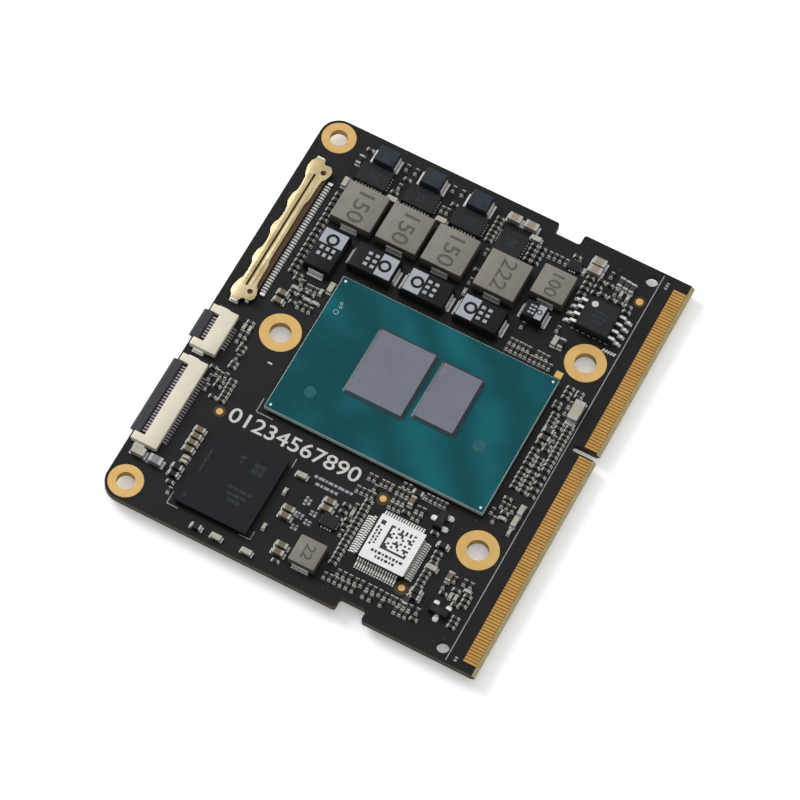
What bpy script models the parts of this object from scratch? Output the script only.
# System on module: a computer board that plugs into an edge socket by its 260 gold contacts.
# Frame: +X towards the contact edge, +Y along that edge, +Z up. The origin is under the middle
# of the board, level with the undersides of the memory packages that the module rests on.
import math

import bmesh
import bpy
from mathutils import Matrix, Vector

MM = 0.001

# Board
BOARD_THICKNESS = 1.2 * MM
BACK_CORNER_RADIUS = 3.0 * MM
FRONT_CORNER_RADIUS = 0.3 * MM
LATCH_NOTCH_WIDTH = 4.1 * MM
LATCH_NOTCH_DEPTH = 1.8 * MM
LATCH_NOTCH_RADIUS = 0.4 * MM
LATCH_NOTCH_FROM_EDGE = 19.95 * MM
EDGE_CHAMFER = 0.3 * MM
KEY_WIDTH = 1.1 * MM
KEY_DEPTH = 4.1 * MM

# Contacts on both faces of the front edge
CONTACT_PITCH = 0.5 * MM
CONTACT_WIDTH = 0.35 * MM
CONTACT_LENGTH = 2.2 * MM
CONTACT_RISE = 0.04 * MM
CONTACT_FROM_EDGE = 0.4 * MM
CONTACTS_BELOW_KEY = 72
CONTACTS_ABOVE_KEY = 58
KEY_TO_CONTACT = 1.0 * MM
LOWER_END_MARGIN = 1.65 * MM
UPPER_END_MARGIN = 1.95 * MM

# Screw holes with plated rings, and bare tooling holes
CORNER_HOLE_RADIUS = 1.35 * MM
CORNER_RING_RADIUS = 2.6 * MM
CORNER_HOLE_INSET = 3.0 * MM
COOLER_HOLE_RADIUS = 1.6 * MM
COOLER_RING_RADIUS = 3.1 * MM
COOLER_HOLE_FROM_CPU_BACK = 3.85 * MM
COOLER_HOLE_FROM_CPU_FRONT = 1.8 * MM
COOLER_HOLE_SPAN = 33.6 * MM
RING_RISE = 0.03 * MM
TOOLING_HOLE_RADIUS = 0.95 * MM
TOOLING_HOLE_FROM_EDGE = 6.0 * MM
TOOLING_HOLE_INSET = 2.0 * MM
HOLE_SIDES = 24

# Named clearances
BALL_HEIGHT = 0.3 * MM
SOLDER_GAP = 0.1 * MM
BUMP_GAP = 0.1 * MM
LABEL_GAP = 0.05 * MM
PIVOT_GAP = 0.05 * MM
SUNK = 0.2 * MM

# Processor package
CPU_LENGTH = 35.0 * MM
CPU_WIDTH = 24.0 * MM
CPU_SUBSTRATE = 0.9 * MM
CPU_OFF_MIDDLE = 0.65 * MM
STRIP_BEHIND_CPU = 14.7 * MM
STRIP_BEFORE_CPU = 10.3 * MM
CPU_DIE = (8.8 * MM, 11.0 * MM)
CPU_DIE_OFFSET = (-4.06 * MM, 1.27 * MM)
CHIPSET_DIE = (6.1 * MM, 9.5 * MM)
CHIPSET_DIE_OFFSET = (4.99 * MM, 1.62 * MM)
DIE_THICKNESS = 0.4 * MM

# Power stage: four phases across the board, then the parts behind them
POWER_INDUCTOR = 6.7 * MM
POWER_INDUCTOR_HEIGHT = 2.1 * MM
POWER_INDUCTOR_GAP = 0.72 * MM
FOURTH_INDUCTOR_STEP = 8.5 * MM
INPUT_INDUCTOR = 5.3 * MM
INPUT_INDUCTOR_GAP = 1.16 * MM
STANDBY_INDUCTOR = (4.2 * MM, 4.4 * MM)
STANDBY_INDUCTOR_HEIGHT = 1.7 * MM
INDUCTOR_EDGE = 0.18 * MM
INDUCTOR_TERMINAL = 2.6 * MM

POLYMER_LENGTH = 7.0 * MM
POLYMER_WIDTH = 4.3 * MM
POLYMER_HEIGHT = 1.9 * MM
POLYMER_GAP = 1.35 * MM
POLYMER_TERMINAL = 2.4 * MM
SMALL_POLYMER_LENGTH = 3.3 * MM
SMALL_POLYMER_WIDTH = 2.8 * MM
SMALL_POLYMER_TERMINAL = 2.2 * MM
TERMINAL_METAL = 0.15 * MM

STAGE_LENGTH = 5.0 * MM
STAGE_WIDTH = 4.0 * MM
STAGE_HEIGHT = 0.8 * MM
CONTROLLER_SIDE = 4.0 * MM

CPU_TO_CAPACITORS = 1.65 * MM
CAPACITORS_TO_INDUCTORS = 1.5 * MM
INDUCTORS_TO_STAGES = 0.5 * MM
STAGES_TO_TANTALUMS = 0.2 * MM
FIRST_INDUCTOR_BEHIND_CPU = 3.1 * MM
INPUT_INDUCTOR_SHIFT = 2.2 * MM
STAGE_SHIFT = 0.9 * MM
STAGE_STEP_MORE = 0.4 * MM
TANTALUM_SHIFT = 0.5 * MM
TANTALUM_STEP_MORE = 0.25 * MM
STANDBY_CAPACITOR_FROM_FOURTH = (6.66 * MM, -2.85 * MM)
POWER_CONTROLLER_FROM_FOURTH = 1.54 * MM
LOAD_SWITCH_SIZE = (2.0 * MM, 1.7 * MM, 0.5 * MM)
LOAD_SWITCH_FROM_FOURTH = (8.16 * MM, 7.25 * MM)

# Parts below the processor, from its middle and its lower side, and one from the board's back corner
QUAD_FROM_CPU = (8.3 * MM, 10.5 * MM)
REGULATOR_SIZE = (2.4 * MM, 2.0 * MM, 0.7 * MM)
REGULATOR_FROM_CPU = (-0.95 * MM, 11.1 * MM)
STORAGE_FROM_CORNER = (16.25 * MM, 9.9 * MM)
STANDBY_INDUCTOR_FROM_CPU = (-1.14 * MM, 17.25 * MM)
FIRST_TRANSISTOR_FROM_CPU = (12.7 * MM, 3.3 * MM)
SECOND_TRANSISTOR_FROM_CPU = 18.9 * MM
SECOND_TRANSISTOR_FROM_SIDE = 6.3 * MM

# Leaded packages
FLASH_SIDE = 5.3 * MM
FLASH_HEIGHT = 1.7 * MM
FLASH_SPAN = 8.6 * MM
INPUT_INDUCTOR_TO_FLASH = 1.0 * MM
FLASH_SHIFT = 0.75 * MM
FLASH_PITCH = 1.27 * MM
FLASH_LEAD_COUNT = 4
FLASH_LEAD_WIDTH = 0.42 * MM
FLASH_LEAD_METAL = 0.2 * MM
QUAD_SIDE = 7.2 * MM
QUAD_HEIGHT = 1.35 * MM
QUAD_SPAN = 9.4 * MM
QUAD_PITCH = 0.4 * MM
QUAD_LEAD_COUNT = 16
QUAD_LEAD_WIDTH = 0.2 * MM
QUAD_LEAD_METAL = 0.13 * MM
FOOT_LENGTH = 0.6 * MM
LABEL_SIZE = (7.0 * MM, 7.3 * MM)
LABEL_THICKNESS = 0.1 * MM
LABEL_SHIFT = 0.4 * MM
BODY_DRAFT = 0.94

STORAGE_SIZE = (11.5 * MM, 13.0 * MM)
STORAGE_HEIGHT = 0.7 * MM
MEMORY_SIZE = (12.4 * MM, 15.0 * MM)
MEMORY_HEIGHT = 0.7 * MM
MEMORY_GAP = 4.0 * MM

# Display socket on the back edge
SOCKET_PITCH = 0.5 * MM
SOCKET_CONTACT_COUNT = 40
SOCKET_Y = 13.8 * MM
SOCKET_FROM_BACK = 1.4 * MM
SOCKET_DEPTH = 3.8 * MM
SOCKET_END = 3.2 * MM
SOCKET_BLOCK_HEIGHT = 0.7 * MM
SHELL_METAL = 0.2 * MM
SHELL_GAP = 0.05 * MM
SHELL_DEPTH = 2.5 * MM
SHELL_LIP = 0.35 * MM
SHELL_SLIT = 0.16 * MM
SHELL_HOLE = 0.32 * MM
SHELL_TAB = (1.5 * MM, 0.7 * MM)

# Flat cable connectors with flip locks, on the back edge
CABLE_PITCH = 0.5 * MM
CABLE_HEIGHT = 1.1 * MM
CABLE_DEPTH = 4.1 * MM
CABLE_SPINE = 2.5 * MM
CABLE_ARM = 1.25 * MM
CABLE_FLOOR = 0.25 * MM
CABLE_FROM_BACK = 0.5 * MM
CABLE_BEAM_WIDTH = 0.2 * MM
CABLE_TAIL = 0.6 * MM
LEVER_REACH = 1.35 * MM
LEVER_THICKNESS = 0.5 * MM
LEVER_TO_SPINE = 0.8 * MM
PIVOT_RADIUS = 0.14 * MM
PIVOT_LENGTH = 0.35 * MM
SMALL_CABLE_CONTACT_COUNT = 8
SMALL_CABLE_Y = -5.25 * MM
LARGE_CABLE_CONTACT_COUNT = 24
LARGE_CABLE_Y = -18.3 * MM

# Chip sizes: length, width, height
CHIP_0402 = (1.0 * MM, 0.5 * MM, 0.4 * MM)
CHIP_0603 = (1.6 * MM, 0.8 * MM, 0.7 * MM)
CHIP_0805 = (2.0 * MM, 1.25 * MM, 1.0 * MM)
CHIP_1206 = (3.2 * MM, 1.6 * MM, 1.3 * MM)
CHIP_PAIRED = (1.75 * MM, 0.85 * MM, 0.8 * MM)
PAIR_STEP = 1.2 * MM
PAIRS_FROM_CPU = ((-2.3 * MM, 8.37 * MM), (-6.86 * MM, 12.15 * MM), (-5.05 * MM, 17.55 * MM))
CHIP_BAND = 0.22

# Levels and edges worked out from the sizes above
MEMORY_STACK = BALL_HEIGHT + MEMORY_HEIGHT
BOARD_TOP = MEMORY_STACK + BOARD_THICKNESS
LOWER_RUN = KEY_TO_CONTACT + (CONTACTS_BELOW_KEY - 1) * CONTACT_PITCH + LOWER_END_MARGIN
UPPER_RUN = KEY_TO_CONTACT + (CONTACTS_ABOVE_KEY - 1) * CONTACT_PITCH + UPPER_END_MARGIN
BOARD_LENGTH = LOWER_RUN + UPPER_RUN
BOARD_DEPTH = STRIP_BEHIND_CPU + CPU_LENGTH + STRIP_BEFORE_CPU
FRONT_X = BOARD_DEPTH / 2
BACK_X = -BOARD_DEPTH / 2
SIDE_Y = BOARD_LENGTH / 2
KEY_Y = LOWER_RUN - SIDE_Y
CPU_BACK = BACK_X + STRIP_BEHIND_CPU
CPU_FRONT = CPU_BACK + CPU_LENGTH
CPU_X = (CPU_BACK + CPU_FRONT) / 2
CPU_Y = -CPU_OFF_MIDDLE
CPU_UPPER = CPU_Y + CPU_WIDTH / 2
CPU_LOWER = CPU_Y - CPU_WIDTH / 2
POLYMER_Y = CPU_UPPER + CPU_TO_CAPACITORS + POLYMER_WIDTH / 2
INDUCTOR_Y = POLYMER_Y + POLYMER_WIDTH / 2 + CAPACITORS_TO_INDUCTORS + POWER_INDUCTOR / 2
STAGE_Y = INDUCTOR_Y + POWER_INDUCTOR / 2 + INDUCTORS_TO_STAGES + STAGE_WIDTH / 2
TANTALUM_Y = STAGE_Y + STAGE_WIDTH / 2 + STAGES_TO_TANTALUMS + SMALL_POLYMER_WIDTH / 2
INDUCTOR_STEP = POWER_INDUCTOR + POWER_INDUCTOR_GAP
FIRST_INDUCTOR_X = CPU_BACK - FIRST_INDUCTOR_BEHIND_CPU
FOURTH_INDUCTOR_X = FIRST_INDUCTOR_X + 2 * INDUCTOR_STEP + FOURTH_INDUCTOR_STEP
INPUT_INDUCTOR_X = FOURTH_INDUCTOR_X + POWER_INDUCTOR / 2 + INPUT_INDUCTOR_GAP + INPUT_INDUCTOR / 2
FLASH_X = INPUT_INDUCTOR_X + INPUT_INDUCTOR / 2 + INPUT_INDUCTOR_TO_FLASH + FLASH_SPAN / 2


def clear_scene():
    for old in list(bpy.data.objects):
        bpy.data.objects.remove(old, do_unlink=True)


def new_collection(name):
    made = bpy.data.collections.new(name)
    bpy.context.scene.collection.children.link(made)
    return made


clear_scene()
parts = new_collection("system_on_module")
cutters = new_collection("cutters")
datum = bpy.data.objects.new("board_top_face", None)
datum.location = (0, 0, BOARD_TOP)
parts.objects.link(datum)


def finish(name, colour, roughness, metallic=0.0):
    made = bpy.data.materials.new(name)
    made.use_nodes = True
    shader = made.node_tree.nodes["Principled BSDF"]
    shader.inputs["Base Color"].default_value = (*colour, 1.0)
    shader.inputs["Roughness"].default_value = roughness
    shader.inputs["Metallic"].default_value = metallic
    return made


def place(made, at, colour, roughness, metallic=0.0, parent=datum):
    """Puts a part in the parts collection at a place measured from the board's top face."""
    for holder in list(made.users_collection):
        holder.objects.unlink(made)
    parts.objects.link(made)
    made.parent = parent
    made.location = at
    made.data.materials.clear()
    made.data.materials.append(finish(made.name + "_finish", colour, roughness, metallic))
    return made


def as_cutter(made, parent=datum):
    cutters.objects.link(made)
    made.parent = parent
    made.hide_render = True
    made.display_type = "WIRE"
    return made


def combine(target, tool, operation):
    """Joins or cuts with the exact solver, and bakes it so that later steps see the result."""
    step = target.modifiers.new(operation.lower(), "BOOLEAN")
    step.operation = operation
    step.solver = "EXACT"
    step.use_self = operation == "UNION"
    step.object = tool
    bpy.context.view_layer.update()
    seen = target.evaluated_get(bpy.context.evaluated_depsgraph_get())
    baked = bpy.data.meshes.new_from_object(seen)
    target.modifiers.remove(step)
    target.data = baked
    bpy.data.objects.remove(tool, do_unlink=True)


def add_box(shape, size, centre, turn=0.0):
    """Adds one box to a bmesh, turned about +Z, and gives back its corners."""
    matrix = Matrix.Translation(centre) @ Matrix.Rotation(turn, 4, "Z") @ Matrix.Diagonal((*size, 1.0))
    return bmesh.ops.create_cube(shape, size=1.0, matrix=matrix)["verts"]


def mesh_object(name, shape):
    mesh = bpy.data.meshes.new(name)
    shape.to_mesh(mesh)
    shape.free()
    return bpy.data.objects.new(name, mesh)


def box_tool(name, boxes):
    """One tool made of separate boxes, each a (size, centre) pair."""
    shape = bmesh.new()
    for size, centre in boxes:
        add_box(shape, size, centre)
    return as_cutter(mesh_object(name, shape))


def add_posts(shape, places, radius, low, high, sides=HOLE_SIDES):
    for x, y in places:
        bmesh.ops.create_cone(
            shape, cap_ends=True, segments=sides, radius1=radius, radius2=radius, depth=high - low,
            matrix=Matrix.Translation((x, y, (low + high) / 2)),
        )


def rounded(corners):
    """Outline points from (x, y, radius, steps) corners, each rounded by an arc."""
    points = []
    for index, (x, y, radius, steps) in enumerate(corners):
        here = Vector((x, y))
        if radius <= 0:
            points.append(here)
            continue
        before = Vector(corners[index - 1][:2]) - here
        after = Vector(corners[(index + 1) % len(corners)][:2]) - here
        before.normalize()
        after.normalize()
        half = before.angle(after) / 2
        centre = here + (before + after).normalized() * radius / math.sin(half)
        start = here + before * radius / math.tan(half) - centre
        end = here + after * radius / math.tan(half) - centre
        sweep = start.angle_signed(end)
        for step in range(steps + 1):
            turn = Matrix.Rotation(-sweep * step / steps, 2)
            points.append(centre + turn @ start)
    return points


def outline_solid(name, loops, thickness):
    """A flat outline, with any holes as further loops, given a thickness."""
    curve = bpy.data.curves.new(name, "CURVE")
    curve.dimensions = "2D"
    curve.fill_mode = "BOTH"
    curve.extrude = thickness / 2
    for loop in loops:
        spline = curve.splines.new("POLY")
        spline.points.add(len(loop) - 1)
        for point, (x, y) in zip(spline.points, loop):
            point.co = (x, y, 0, 1)
        spline.use_cyclic_u = True
    holder = bpy.data.objects.new(name, curve)
    parts.objects.link(holder)
    bpy.context.view_layer.update()
    seen = holder.evaluated_get(bpy.context.evaluated_depsgraph_get())
    mesh = bpy.data.meshes.new_from_object(seen)
    bpy.data.objects.remove(holder, do_unlink=True)
    shape = bmesh.new()
    shape.from_mesh(mesh)
    bmesh.ops.remove_doubles(shape, verts=shape.verts, dist=1e-7)
    bmesh.ops.dissolve_limit(shape, angle_limit=math.radians(1), verts=shape.verts, edges=shape.edges)
    bmesh.ops.recalc_face_normals(shape, faces=shape.faces)
    shape.to_mesh(mesh)
    shape.free()
    return bpy.data.objects.new(name, mesh)


def soften(made, width, segments=1):
    edge = made.modifiers.new("edges", "BEVEL")
    edge.width = width
    edge.segments = segments
    edge.limit_method = "ANGLE"
    edge.angle_limit = math.radians(40)


def block(name, size, at, colour, roughness, metallic=0.0, edge=0.0):
    """A plain package standing on z, with its edges broken by a small bevel."""
    shape = bmesh.new()
    add_box(shape, size, (0, 0, size[2] / 2))
    made = place(mesh_object(name, shape), at, colour, roughness, metallic)
    if edge:
        soften(made, edge)
    return made


def moulded_shape(size, parting=0.5, draft=BODY_DRAFT):
    """A moulded body whose sides draw in above and below the parting line."""
    shape = bmesh.new()
    add_box(shape, size, (0, 0, size[2] / 2))
    cut = bmesh.ops.bisect_plane(
        shape, geom=shape.verts[:] + shape.edges[:] + shape.faces[:],
        plane_co=(0, 0, size[2] * parting), plane_no=(0, 0, 1),
    )
    line = {part for part in cut["geom_cut"] if isinstance(part, bmesh.types.BMVert)}
    for corner in shape.verts:
        if corner not in line:
            corner.co.x *= draft
            corner.co.y *= draft
    return shape


def gull_lead(metal, width, reach, shoulder, foot, knee=True):
    """One formed lead along +X from the body's side: out, down and out again to its foot."""
    bend = reach - foot
    under = [(-SUNK, shoulder), (bend - 2.2 * metal, shoulder), (bend - metal, 0), (reach, 0)]
    over = [(reach, metal), (bend, metal), (bend - 1.2 * metal, shoulder + metal), (-SUNK, shoulder + metal)]
    if not knee:
        under.pop(1)
        over.pop(2)
    profile = under + over
    made = outline_solid("lead", [profile], width)
    made.data.transform(Matrix.Rotation(math.pi / 2, 4, "X"))
    return made.data


def add_leads(target, sides, count, pitch, half_body, lead):
    """Joins rows of leads to a body, one row on each of the sides given as turns about +Z."""
    shape = bmesh.new()
    for turn in sides:
        for index in range(count):
            along = (index - (count - 1) / 2) * pitch
            one = lead.copy()
            one.transform(Matrix.Rotation(turn, 4, "Z") @ Matrix.Translation((half_body, along, 0)))
            shape.from_mesh(one)
    combine(target, as_cutter(mesh_object("leads", shape), None), "UNION")


# Board
def board_outline():
    notch_low = FRONT_X - LATCH_NOTCH_FROM_EDGE - LATCH_NOTCH_WIDTH / 2
    notch_high = notch_low + LATCH_NOTCH_WIDTH
    floor = SIDE_Y - LATCH_NOTCH_DEPTH
    half_key = KEY_WIDTH / 2
    key_end = FRONT_X - KEY_DEPTH
    small = LATCH_NOTCH_RADIUS
    lower = [
        (BACK_X, -SIDE_Y, BACK_CORNER_RADIUS, 6),
        (notch_low, -SIDE_Y, small, 2), (notch_low, -floor, small, 2),
        (notch_high, -floor, small, 2), (notch_high, -SIDE_Y, small, 2),
        (FRONT_X, -SIDE_Y, FRONT_CORNER_RADIUS, 2),
    ]
    key = [
        (FRONT_X, KEY_Y - half_key, 0, 0), (key_end, KEY_Y - half_key, half_key * 0.96, 4),
        (key_end, KEY_Y + half_key, half_key * 0.96, 4), (FRONT_X, KEY_Y + half_key, 0, 0),
    ]
    upper = [(x, -y, radius, steps) for x, y, radius, steps in reversed(lower)]
    return rounded(lower + key + upper)


def contact_rows():
    """The y of each contact: one run on each side of the key."""
    below = [KEY_Y - KEY_TO_CONTACT - index * CONTACT_PITCH for index in range(CONTACTS_BELOW_KEY)]
    above = [KEY_Y + KEY_TO_CONTACT + index * CONTACT_PITCH for index in range(CONTACTS_ABOVE_KEY)]
    return below + above


def bank(size, start, count=1, step=(0.0, 0.0), turned=False, under=False):
    """A run of like chips from a start point, for the board's top or its underside."""
    length, width, height = size
    footprint = (width, length) if turned else (length, width)
    level = -BOARD_THICKNESS - height / 2 + SUNK / 2 if under else height / 2 - SUNK / 2
    return [
        ((*footprint, height + SUNK), (start[0] + index * step[0], start[1] + index * step[1], level))
        for index in range(count)
    ]


def around(origin, rows):
    """Banks whose start and step are given in millimetres from an origin on the board."""
    boxes = []
    for size, x, y, count, step_x, step_y, turned in rows:
        start = (origin[0] + x * MM, origin[1] + y * MM)
        boxes += bank(size, start, count, (step_x * MM, step_y * MM), turned)
    return boxes


def chips_on_top():
    """The runs of small capacitors and resistors that stand round each larger part."""
    beside_cpu = around((CPU_FRONT, CPU_Y), [
        (CHIP_0402, 1.8, 12.1, 3, 0, -0.8, False), (CHIP_0402, 1.8, 7.4, 4, 0, -0.7, False),
        (CHIP_0603, 2.0, 4.45, 2, 0, -1.1, False), (CHIP_0402, 1.8, 1.05, 4, 0, -0.8, False),
        (CHIP_0402, 1.8, -2.4, 5, 0, -0.8, False), (CHIP_0402, 3.05, 0.05, 3, 0, -0.75, False),
        (CHIP_0402, 3.05, -2.45, 5, 0, -0.78, False), (CHIP_0402, 4.35, 6.4, 7, 0, -0.73, False),
        (CHIP_0402, 4.35, 1.05, 4, 0, -0.73, False), (CHIP_0402, 4.35, -2.2, 4, 0, -1.2, False),
        (CHIP_0402, 1.5, -8.95, 3, 0.85, 0, True), (CHIP_0603, 4.3, -8.25, 3, 0, -1.75, True),
    ])
    below_cpu = around((CPU_X, CPU_LOWER), [
        (CHIP_0402, 5.6, -0.95, 2, 0.8, 0, True), (CHIP_0402, 9.2, -0.95, 5, 0.7, 0, True),
        (CHIP_0402, 2.7, -2.15, 3, 0.72, 0, True), (CHIP_0402, 5.25, -2.15, 3, 0.75, 0, True),
        (CHIP_0402, 5.25, -3.35, 3, 0.75, 0, True), (CHIP_0402, 0.0, -4.6, 4, 0.8, 0, True),
        (CHIP_0402, 5.2, -4.6, 3, 0.75, 0, True), (CHIP_0402, 2.4, -5.65, 16, 0, -0.787, False),
        (CHIP_0603, 14.65, -14.35, 2, 0, -0.95, False), (CHIP_0402, 14.6, -7.95, 8, 0, -0.78, False),
    ])
    lower_side = around((CPU_X, -SIDE_Y), [
        (CHIP_0402, 3.7, 5.0, 16, 0.83, 0, True), (CHIP_0402, 2.25, 3.65, 6, 0.87, 0, True),
        (CHIP_0402, 8.45, 3.65, 2, 0.95, 0, True), (CHIP_0402, 13.3, 3.65, 3, 0.82, 0, True),
        (CHIP_0805, -13.85, 1.65, 1, 0, 0, False), (CHIP_0603, -17.05, 1.6, 1, 0, 0, False),
    ])
    power = around((FIRST_INDUCTOR_X, INDUCTOR_Y), [
        (CHIP_0603, -4.2, 3.4, 1, 0, 0, True), (CHIP_0402, 18.4, 9.05, 6, 0, -0.8, False),
        (CHIP_0402, 24.9, 7.55, 4, 0, -0.85, False), (CHIP_0402, 26.15, 7.55, 4, 0, -0.85, False),
        (CHIP_0402, 27.4, 7.35, 3, 0.9, 0, True), (CHIP_0402, 34.35, 5.6, 2, 0, -0.85, False),
        (CHIP_0603, 38.6, 8.15, 3, 0.93, 0, True), (CHIP_0402, 38.65, 6.25, 3, 0.9, 0, True),
        (CHIP_0402, 37.3, 5.05, 4, 1.25, 0, False), (CHIP_0603, 34.4, -4.75, 2, 0.95, 0, True),
        (CHIP_0402, 28.85, -7.85, 9, 0.74, 0, True), (CHIP_0402, 28.85, -9.0, 10, 0.74, 0, True),
    ])
    behind_cpu = around((CPU_BACK, CPU_UPPER), [
        (CHIP_0402, -7.1, 12.15, 16, 0, -0.96, False), (CHIP_0402, -4.05, -3.5, 3, 0.72, 0, True),
        (CHIP_0402, -5.4, -4.55, 4, 1.15, 0, False), (CHIP_0402, -3.0, -5.5, 2, 1.2, 0, False),
        (CHIP_0603, -6.65, -6.3, 2, 0, -1.3, False),
    ])
    by_large_cable = around((BACK_X, LARGE_CABLE_Y), [
        (CHIP_0402, 8.6, 7.55, 6, 0, -0.74, False), (CHIP_0603, 8.3, -1.55, 4, 0, -1.15, False),
        (CHIP_0402, 8.7, -6.3, 2, 0, -0.7, False), (CHIP_0603, 8.25, -8.15, 2, 0, -1.1, False),
    ])
    return beside_cpu + below_cpu + lower_side + power + behind_cpu + by_large_cable


def chips_underneath():
    """Decoupling capacitors in the lanes between the memory packages."""
    lane = [bank(CHIP_0402, (x * MM, -12.5 * MM), 6, (0, 5.0 * MM), True, True) for x in (-0.9, 0.9)]
    row = [bank(CHIP_0402, (x * MM, 0), 3, (3.0 * MM, 0), False, True) for x in (-12.0, 6.0)]
    return [box for run in lane + row for box in run]


def hole_places():
    corner_x = BACK_X + CORNER_HOLE_INSET
    corner_y = SIDE_Y - CORNER_HOLE_INSET
    front = CPU_FRONT + COOLER_HOLE_FROM_CPU_FRONT
    half = COOLER_HOLE_SPAN / 2
    tooling_x = FRONT_X - TOOLING_HOLE_FROM_EDGE
    tooling_y = SIDE_Y - TOOLING_HOLE_INSET
    return (
        [(corner_x, corner_y), (corner_x, -corner_y)],
        [(CPU_BACK - COOLER_HOLE_FROM_CPU_BACK, CPU_Y), (front, CPU_Y + half), (front, CPU_Y - half)],
        [(tooling_x, tooling_y), (tooling_x, -tooling_y)],
    )


def make_board():
    board = outline_solid("pcb", [board_outline()], BOARD_THICKNESS)
    board.data.transform(Matrix.Translation((0, 0, -BOARD_THICKNESS / 2)))
    place(board, (0, 0, 0), (0.012, 0.013, 0.016), 0.5)
    chamfer = bmesh.new()
    for level in (0, -BOARD_THICKNESS):
        side = math.sqrt(2) * EDGE_CHAMFER
        corners = add_box(chamfer, (side, 2 * BOARD_LENGTH, side), (0, 0, 0))
        turn = Matrix.Translation((FRONT_X, 0, level)) @ Matrix.Rotation(math.pi / 4, 4, "Y")
        bmesh.ops.transform(chamfer, matrix=turn, verts=corners)
    combine(board, as_cutter(mesh_object("edge_chamfers", chamfer)), "DIFFERENCE")
    corner, cooler, tooling = hole_places()
    through = 2 * BOARD_THICKNESS
    holes = bmesh.new()
    add_posts(holes, corner, CORNER_HOLE_RADIUS, -through, through)
    add_posts(holes, cooler, COOLER_HOLE_RADIUS, -through, through)
    add_posts(holes, tooling, TOOLING_HOLE_RADIUS, -through, through, 16)
    raised = bmesh.new()
    low, high = -BOARD_THICKNESS - RING_RISE, RING_RISE
    add_posts(raised, corner, CORNER_RING_RADIUS, low, high)
    add_posts(raised, cooler, COOLER_RING_RADIUS, low, high)
    contact = (CONTACT_LENGTH, CONTACT_WIDTH, BOARD_THICKNESS + 2 * CONTACT_RISE)
    contact_x = FRONT_X - CONTACT_FROM_EDGE - CONTACT_LENGTH / 2
    for y in contact_rows():
        add_box(raised, contact, (contact_x, y, -BOARD_THICKNESS / 2))
    for size, centre in chips_on_top() + chips_underneath():
        add_box(raised, size, centre)
    combine(board, as_cutter(mesh_object("raised_parts", raised)), "UNION")
    combine(board, as_cutter(mesh_object("through_holes", holes)), "DIFFERENCE")


# Processor: one green substrate on solder balls, with two bare dies
def make_processor():
    block("cpu_substrate", (CPU_LENGTH, CPU_WIDTH, CPU_SUBSTRATE), (CPU_X, CPU_Y, BALL_HEIGHT),
          (0.01, 0.13, 0.16), 0.35)
    level = BALL_HEIGHT + CPU_SUBSTRATE + BUMP_GAP
    dies = (("cpu_die", CPU_DIE, CPU_DIE_OFFSET), ("chipset_die", CHIPSET_DIE, CHIPSET_DIE_OFFSET))
    for name, size, offset in dies:
        at = (CPU_X + offset[0], CPU_Y + offset[1], level)
        block(name, (*size, DIE_THICKNESS), at, (0.19, 0.18, 0.22), 0.2, 0.3)


def below_processor(offset):
    """A place from the processor's middle and down from its lower side."""
    return (CPU_X + offset[0], CPU_LOWER - offset[1])


# Wound and pressed parts
def inductor(name, size, height, at):
    """A pressed metal-powder inductor with a terminal strip up two of its sides."""
    shape = bmesh.new()
    add_box(shape, (*size, height), (0, 0, height / 2))
    made = mesh_object(name, shape)
    place(made, (*at, SOLDER_GAP), (0.19, 0.18, 0.165), 0.75)
    soften(made, INDUCTOR_EDGE)
    bpy.context.view_layer.update()
    seen = made.evaluated_get(bpy.context.evaluated_depsgraph_get())
    made.data = bpy.data.meshes.new_from_object(seen)
    made.modifiers.clear()
    strip = (INDUCTOR_TERMINAL, TERMINAL_METAL + SUNK, height * 0.45)
    strips = []
    for side in (-1, 1):
        out = side * (size[1] / 2 + TERMINAL_METAL / 2 - SUNK / 2)
        strips.append((strip, (at[0], at[1] + out, SOLDER_GAP + strip[2] / 2 + INDUCTOR_EDGE)))
    combine(made, box_tool("terminals", strips), "UNION")
    return made


def make_inductors():
    row = [FIRST_INDUCTOR_X + index * INDUCTOR_STEP for index in range(3)] + [FOURTH_INDUCTOR_X]
    for number, x in enumerate(row, 1):
        inductor(f"power_inductor_{number}", (POWER_INDUCTOR, POWER_INDUCTOR), POWER_INDUCTOR_HEIGHT,
                 (x, INDUCTOR_Y))
    inductor("input_inductor", (INPUT_INDUCTOR, INPUT_INDUCTOR), POWER_INDUCTOR_HEIGHT,
             (INPUT_INDUCTOR_X, INDUCTOR_Y + INPUT_INDUCTOR_SHIFT))
    inductor("standby_inductor", STANDBY_INDUCTOR, STANDBY_INDUCTOR_HEIGHT,
             below_processor(STANDBY_INDUCTOR_FROM_CPU))


# Moulded capacitors
def moulded_capacitor(name, size, terminal, at, turned, colour):
    """A moulded case with drafted sides and a folded metal terminal on each end."""
    made = mesh_object(name, moulded_shape(size, 0.45, 0.96))
    place(made, (*at, SOLDER_GAP), colour, 0.5)
    length, width, height = size
    strip = (TERMINAL_METAL + 2 * SUNK, terminal, height * 0.45)
    strips = []
    for side in (-1, 1):
        out = side * (length / 2 + TERMINAL_METAL / 2 - SUNK)
        strips.append((strip, (at[0] + out, at[1], SOLDER_GAP + strip[2] / 2)))
    combine(made, box_tool("terminals", strips), "UNION")
    if turned:
        made.rotation_euler.z = math.pi / 2
    return made


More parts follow.
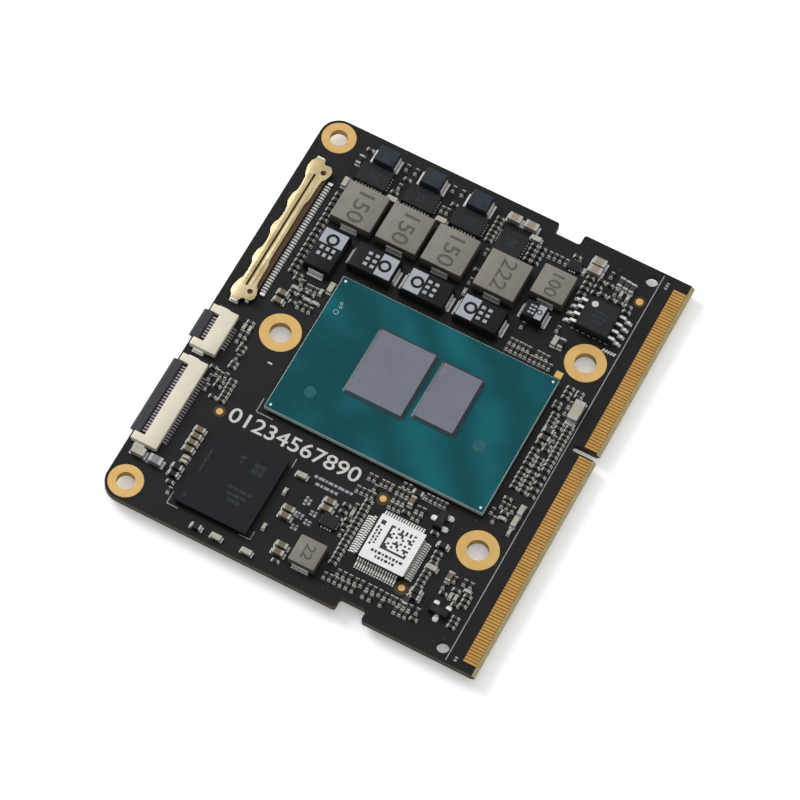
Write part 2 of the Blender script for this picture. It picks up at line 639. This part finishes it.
def make_capacitors():
    large = (POLYMER_LENGTH, POLYMER_WIDTH, POLYMER_HEIGHT)
    small = (SMALL_POLYMER_LENGTH, SMALL_POLYMER_WIDTH, POLYMER_HEIGHT)
    black = (0.02, 0.021, 0.025)
    step = POLYMER_LENGTH + 2 * TERMINAL_METAL + POLYMER_GAP
    first = CPU_BACK + 3.0 * MM
    turned_y = POLYMER_Y - 1.5 * MM
    turned_x = CPU_BACK - 3.9 * MM
    moulded_capacitor("output_capacitor_1", large, POLYMER_TERMINAL, (turned_x, turned_y), True, black)
    for number in range(3):
        moulded_capacitor(f"output_capacitor_{number + 2}", large, POLYMER_TERMINAL,
                          (first + number * step, POLYMER_Y), False, black)
    moulded_capacitor("standby_capacitor", small, SMALL_POLYMER_TERMINAL,
                      (FOURTH_INDUCTOR_X + STANDBY_CAPACITOR_FROM_FOURTH[0],
                       INDUCTOR_Y + STANDBY_CAPACITOR_FROM_FOURTH[1]), False, black)
    for number in range(3):
        moulded_capacitor(f"input_capacitor_{number + 1}", small, SMALL_POLYMER_TERMINAL,
                          (FIRST_INDUCTOR_X - TANTALUM_SHIFT + number * (INDUCTOR_STEP + TANTALUM_STEP_MORE),
                           TANTALUM_Y),
                          False, (0.03, 0.04, 0.055))


# Packages without leads
def make_flat_packages():
    black = (0.018, 0.019, 0.022)
    for number in range(3):
        x = FIRST_INDUCTOR_X - STAGE_SHIFT + number * (INDUCTOR_STEP + STAGE_STEP_MORE)
        block(f"power_stage_{number + 1}", (STAGE_LENGTH, STAGE_WIDTH, STAGE_HEIGHT),
              (x, STAGE_Y, SOLDER_GAP), black, 0.5)
    block("power_controller", (CONTROLLER_SIDE, CONTROLLER_SIDE, STAGE_HEIGHT),
          (FOURTH_INDUCTOR_X - POWER_CONTROLLER_FROM_FOURTH, STAGE_Y, SOLDER_GAP), black, 0.5)
    switch = (FOURTH_INDUCTOR_X + LOAD_SWITCH_FROM_FOURTH[0], INDUCTOR_Y + LOAD_SWITCH_FROM_FOURTH[1])
    block("load_switch", LOAD_SWITCH_SIZE, (*switch, SOLDER_GAP), black, 0.5)
    block("regulator_chip", REGULATOR_SIZE, (*below_processor(REGULATOR_FROM_CPU), SOLDER_GAP), black, 0.5)
    block("storage_package", (*STORAGE_SIZE, STORAGE_HEIGHT),
          (BACK_X + STORAGE_FROM_CORNER[0], STORAGE_FROM_CORNER[1] - SIDE_Y, BALL_HEIGHT), black, 0.45)
    level = -BOARD_THICKNESS - MEMORY_STACK
    pitch = (MEMORY_SIZE[0] + MEMORY_GAP, MEMORY_SIZE[1] + MEMORY_GAP)
    for number in range(4):
        x = (number % 2 - 0.5) * pitch[0]
        y = (number // 2 - 0.5) * pitch[1]
        block(f"memory_package_{number + 1}", (*MEMORY_SIZE, MEMORY_HEIGHT), (x, y, level), black, 0.45)


# Packages with formed leads
def leaded(name, side, height, span, count, pitch, width, metal, sides, at):
    made = mesh_object(name, moulded_shape((side, side, height)))
    reach = (span - side) / 2
    lead = gull_lead(metal, width, reach, height / 2 - metal / 2, FOOT_LENGTH, count < QUAD_LEAD_COUNT)
    place(made, (0, 0, 0), (0.02, 0.021, 0.024), 0.5, parent=None)
    add_leads(made, sides, count, pitch, side / 2, lead)
    made.parent = datum
    made.location = (*at, SOLDER_GAP)
    return made


def make_leaded_packages():
    quarter = math.pi / 2
    leaded("flash_chip", FLASH_SIDE, FLASH_HEIGHT, FLASH_SPAN, FLASH_LEAD_COUNT, FLASH_PITCH,
           FLASH_LEAD_WIDTH, FLASH_LEAD_METAL, (0, 2 * quarter),
           (FLASH_X, INDUCTOR_Y + FLASH_SHIFT))
    quad = below_processor(QUAD_FROM_CPU)
    leaded("controller_chip", QUAD_SIDE, QUAD_HEIGHT, QUAD_SPAN, QUAD_LEAD_COUNT, QUAD_PITCH,
           QUAD_LEAD_WIDTH, QUAD_LEAD_METAL, (0, quarter, 2 * quarter, 3 * quarter), quad)
    block("controller_label", (*LABEL_SIZE, LABEL_THICKNESS),
          (quad[0] + LABEL_SHIFT, quad[1], SOLDER_GAP + QUAD_HEIGHT + LABEL_GAP), (0.85, 0.85, 0.85), 0.6)
    transistor("transistor_1", below_processor(FIRST_TRANSISTOR_FROM_CPU), 0)
    second = (CPU_X + SECOND_TRANSISTOR_FROM_CPU, SECOND_TRANSISTOR_FROM_SIDE - SIDE_Y)
    transistor("transistor_2", second, quarter)


def transistor(name, at, turn):
    """A three-lead package: two leads on one side and one on the other."""
    length, width, height, metal = 2.9 * MM, 1.3 * MM, 0.9 * MM, 0.13 * MM
    shape = moulded_shape((width, length, height))
    made = place(mesh_object(name, shape), (0, 0, 0), (0.02, 0.021, 0.024), 0.5, parent=None)
    lead = gull_lead(metal, 0.4 * MM, 0.6 * MM, height / 2 - metal / 2, 0.35 * MM)
    add_leads(made, (0,), 2, 1.9 * MM, width / 2, lead)
    add_leads(made, (math.pi,), 1, 0, width / 2, lead)
    made.parent = datum
    made.location = (*at, SOLDER_GAP)
    made.rotation_euler.z = turn
    return made


# Larger ceramic capacitors, each with a metal cap on both ends
def ceramic(name, size, at, turned=False, colour=(0.33, 0.24, 0.18)):
    length, width, height = size
    shape = bmesh.new()
    inner = 0.03 * MM
    add_box(shape, (length, width - 2 * inner, height - inner), (0, 0, (height - inner) / 2))
    made = place(mesh_object(name, shape), (*at, SOLDER_GAP), colour, 0.4)
    band = length * CHIP_BAND
    caps = []
    for side in (-1, 1):
        out = side * (length / 2 + inner - band / 2)
        caps.append(((band, width, height), (at[0] + out, at[1], SOLDER_GAP + height / 2)))
    combine(made, box_tool("caps", caps), "UNION")
    if turned:
        made.rotation_euler.z = math.pi / 2
    return made


def make_ceramics():
    behind = (BACK_X, LARGE_CABLE_Y)
    tantalum = TANTALUM_Y
    upper = [below_processor(offset) for offset in PAIRS_FROM_CPU]
    wanted = [
        (CHIP_0805, (FIRST_INDUCTOR_X + 20.4 * MM, tantalum + 0.4 * MM), False),
        (CHIP_0805, (FIRST_INDUCTOR_X + 23.1 * MM, tantalum + 0.4 * MM), False),
        (CHIP_0805, (FIRST_INDUCTOR_X + 34.5 * MM, tantalum - 0.2 * MM), False),
        (CHIP_0805, (FIRST_INDUCTOR_X + 34.5 * MM, tantalum - 1.65 * MM), False),
        (CHIP_1206, (CPU_FRONT + 4.25 * MM, CPU_Y + 8.85 * MM), True),
        *[(CHIP_PAIRED, at, False) for at in upper],
        (CHIP_0805, (behind[0] + 2.5 * MM, behind[1] - 8.85 * MM), False),
        (CHIP_0805, (behind[0] + 5.3 * MM, behind[1] - 8.95 * MM), False),
        *[(CHIP_PAIRED, (x, y - PAIR_STEP), False) for x, y in upper],
    ]
    for number, (size, at, turned) in enumerate(wanted, 1):
        ceramic(f"ceramic_capacitor_{number}", size, at, turned)


# Display socket: a moulded block of contacts under a pressed metal shell
def make_display_socket():
    row = (SOCKET_CONTACT_COUNT - 1) * SOCKET_PITCH
    length = row + 2 * SOCKET_END
    front = BACK_X + SOCKET_FROM_BACK
    rear = front + SOCKET_DEPTH
    inner = length - 2 * (SHELL_METAL + SHELL_GAP)
    middle = (front + SHELL_LIP + rear) / 2
    shape = bmesh.new()
    add_box(shape, (rear - front - SHELL_LIP, inner, SOCKET_BLOCK_HEIGHT), (0, 0, SOCKET_BLOCK_HEIGHT / 2))
    made = place(mesh_object("display_socket_block", shape), (middle, SOCKET_Y, SOLDER_GAP),
                 (0.16, 0.11, 0.075), 0.6)
    mouth = (2.4 * MM, row + 1.5 * MM, SOCKET_BLOCK_HEIGHT * 0.5)
    level = SOLDER_GAP + SOCKET_BLOCK_HEIGHT * 0.5
    combine(made, box_tool("mouth", [(mouth, (front + SHELL_LIP, SOCKET_Y, level))]), "DIFFERENCE")
    leads = []
    for index in range(SOCKET_CONTACT_COUNT):
        y = SOCKET_Y - row / 2 + index * SOCKET_PITCH
        leads.append(((1.1 * MM, 0.24 * MM, 0.16 * MM), (rear + 0.35 * MM, y, SOLDER_GAP + 0.08 * MM)))
    combine(made, box_tool("socket_leads", leads), "UNION")
    make_socket_shell(length, front, rear)


def make_socket_shell(length, front, rear):
    """A top plate with a scalloped lip, a slit and two holes, and end walls that reach the board."""
    half = length / 2
    back = SHELL_DEPTH + SHELL_LIP
    points = [Vector((SOCKET_DEPTH, -half)), Vector((SOCKET_DEPTH, -half + SOCKET_END - 0.3 * MM))]
    points += [Vector((back, -half + SOCKET_END + 0.3 * MM)), Vector((back, half - SOCKET_END - 0.3 * MM))]
    points += [Vector((SOCKET_DEPTH, half - SOCKET_END + 0.3 * MM)), Vector((SOCKET_DEPTH, half))]
    points += [Vector((0, half)), Vector((0, half - SOCKET_END + 0.4 * MM))]
    waves = 3
    steps = 24
    run = length - 2 * SOCKET_END
    for step in range(steps + 1):
        share = step / steps
        bulge = max(0.0, -math.cos(2 * math.pi * waves * share))
        points.append(Vector((SHELL_LIP * (1 - bulge), run / 2 - share * run)))
    points += [Vector((0, -half + SOCKET_END - 0.4 * MM)), Vector((0, -half))]
    slit_x = SHELL_LIP + 1.25 * MM
    slit = [(slit_x, -run / 2), (slit_x + SHELL_SLIT, -run / 2),
            (slit_x + SHELL_SLIT, run / 2), (slit_x, run / 2)]
    loops = [points, slit]
    for side in (-1, 1):
        centre = Vector((2.6 * MM, side * (half - 1.75 * MM)))
        turns = [2 * math.pi * step / 10 for step in range(10)]
        loops.append([centre + Vector((math.cos(t), math.sin(t))) * SHELL_HOLE for t in turns])
    made = outline_solid("display_socket_shell", loops, SHELL_METAL)
    level = SOLDER_GAP + SOCKET_BLOCK_HEIGHT + SHELL_GAP + SHELL_METAL / 2
    place(made, (front, SOCKET_Y, level), (0.72, 0.58, 0.33), 0.35, 0.8)
    walls = []
    for side in (-1, 1):
        wall_y = SOCKET_Y + side * (half - SHELL_METAL / 2)
        tall = level + SHELL_METAL / 2 - SOLDER_GAP
        walls.append(((SOCKET_DEPTH - 0.1 * MM, SHELL_METAL, tall),
                      (front + SOCKET_DEPTH / 2, wall_y, SOLDER_GAP + tall / 2)))
        foot_y = SOCKET_Y + side * (half + SHELL_TAB[1] / 2 - SUNK / 2)
        walls.append(((SHELL_TAB[0], SHELL_TAB[1] + SUNK, SHELL_METAL * 0.9),
                      (front + 1.2 * MM, foot_y, SOLDER_GAP + SHELL_METAL * 0.45)))
    for one in walls:
        combine(made, box_tool("shell_wall", [one]), "UNION")


# Flat cable connector: a fixed housing with its contacts, and a flip lock that turns in its arms
def cable_connector(prefix, contacts, centre_y):
    slot = (contacts + 1) * CABLE_PITCH + 0.3 * MM
    length = slot + 2 * CABLE_ARM
    mouth = BACK_X + CABLE_FROM_BACK
    rear = mouth + CABLE_DEPTH
    spine_face = rear - CABLE_SPINE
    pivot_x = spine_face - LEVER_TO_SPINE - LEVER_THICKNESS / 2
    pivot_z = SOLDER_GAP + CABLE_HEIGHT - LEVER_THICKNESS / 2 - 0.1 * MM
    shape = bmesh.new()
    add_box(shape, (CABLE_DEPTH, length, CABLE_HEIGHT), (0, 0, CABLE_HEIGHT / 2))
    housing = place(mesh_object(prefix + "_cable_housing", shape),
                    ((mouth + rear) / 2, centre_y, SOLDER_GAP), (0.78, 0.74, 0.66), 0.6)
    hollow = (CABLE_DEPTH - CABLE_SPINE, slot, CABLE_HEIGHT)
    hollow_at = (mouth + hollow[0] / 2 - SUNK, centre_y, SOLDER_GAP + CABLE_FLOOR + hollow[2] / 2)
    combine(housing, box_tool("slot", [((hollow[0] + 2 * SUNK, *hollow[1:]), hollow_at)]), "DIFFERENCE")
    seat = bmesh.new()
    bmesh.ops.create_cone(
        seat, cap_ends=True, segments=12, radius1=PIVOT_RADIUS + PIVOT_GAP, radius2=PIVOT_RADIUS + PIVOT_GAP,
        depth=slot + 2 * (PIVOT_LENGTH + PIVOT_GAP),
        matrix=Matrix.Translation((pivot_x, centre_y, pivot_z)) @ Matrix.Rotation(math.pi / 2, 4, "X"),
    )
    combine(housing, as_cutter(mesh_object("pivot_seats", seat)), "DIFFERENCE")
    metal = []
    tall = CABLE_HEIGHT - CABLE_FLOOR - 0.15 * MM
    for index in range(contacts):
        y = centre_y + (index - (contacts - 1) / 2) * CABLE_PITCH
        metal.append(((0.35 * MM + SUNK, CABLE_BEAM_WIDTH, tall + SUNK / 2),
                      (spine_face - 0.175 * MM + SUNK / 2, y, SOLDER_GAP + CABLE_FLOOR + tall / 2 - SUNK / 4)))
        metal.append(((CABLE_TAIL + SUNK, CABLE_BEAM_WIDTH, 0.15 * MM),
                      (rear + (CABLE_TAIL - SUNK) / 2, y, SOLDER_GAP + 0.075 * MM)))
    combine(housing, box_tool("cable_contacts", metal), "UNION")
    nails = []
    for side in (-1, 1):
        nails.append(((1.4 * MM, 0.35 * MM + SUNK, 0.45 * MM),
                      (mouth + 2.0 * MM, centre_y + side * (length / 2 + 0.175 * MM - SUNK / 2),
                       SOLDER_GAP + 0.225 * MM)))
    combine(housing, box_tool("solder_nails", nails), "UNION")
    make_lever(prefix, slot, (pivot_x, centre_y, pivot_z))


def make_lever(prefix, slot, pivot):
    """The flip lock: a round inner edge about its pivot, a flat plate, and a pin at each end."""
    half = LEVER_THICKNESS / 2
    steps = 6
    turns = [math.pi / 2 - math.pi * step / steps for step in range(steps + 1)]
    profile = [(half * math.cos(turn), half * math.sin(turn)) for turn in turns]
    profile += [(-LEVER_REACH + 0.15 * MM, -half), (-LEVER_REACH, -half + 0.15 * MM),
                (-LEVER_REACH, half * 0.3), (-LEVER_REACH + 0.3 * MM, half)]
    made = outline_solid(prefix + "_cable_lever", [profile], slot - 2 * PIVOT_GAP)
    made.data.transform(Matrix.Rotation(math.pi / 2, 4, "X"))
    place(made, (0, 0, 0), (0.06, 0.062, 0.07), 0.5, parent=None)
    pins = bmesh.new()
    bmesh.ops.create_cone(
        pins, cap_ends=True, segments=12, radius1=PIVOT_RADIUS, radius2=PIVOT_RADIUS,
        depth=slot + 2 * PIVOT_LENGTH, matrix=Matrix.Rotation(math.pi / 2, 4, "X"),
    )
    combine(made, as_cutter(mesh_object("pivot_pins", pins), None), "UNION")
    made.parent = datum
    made.location = pivot


make_board()
make_processor()
make_inductors()
make_capacitors()
make_flat_packages()
make_leaded_packages()
make_ceramics()
make_display_socket()
cable_connector("small", SMALL_CABLE_CONTACT_COUNT, SMALL_CABLE_Y)
cable_connector("large", LARGE_CABLE_CONTACT_COUNT, LARGE_CABLE_Y)
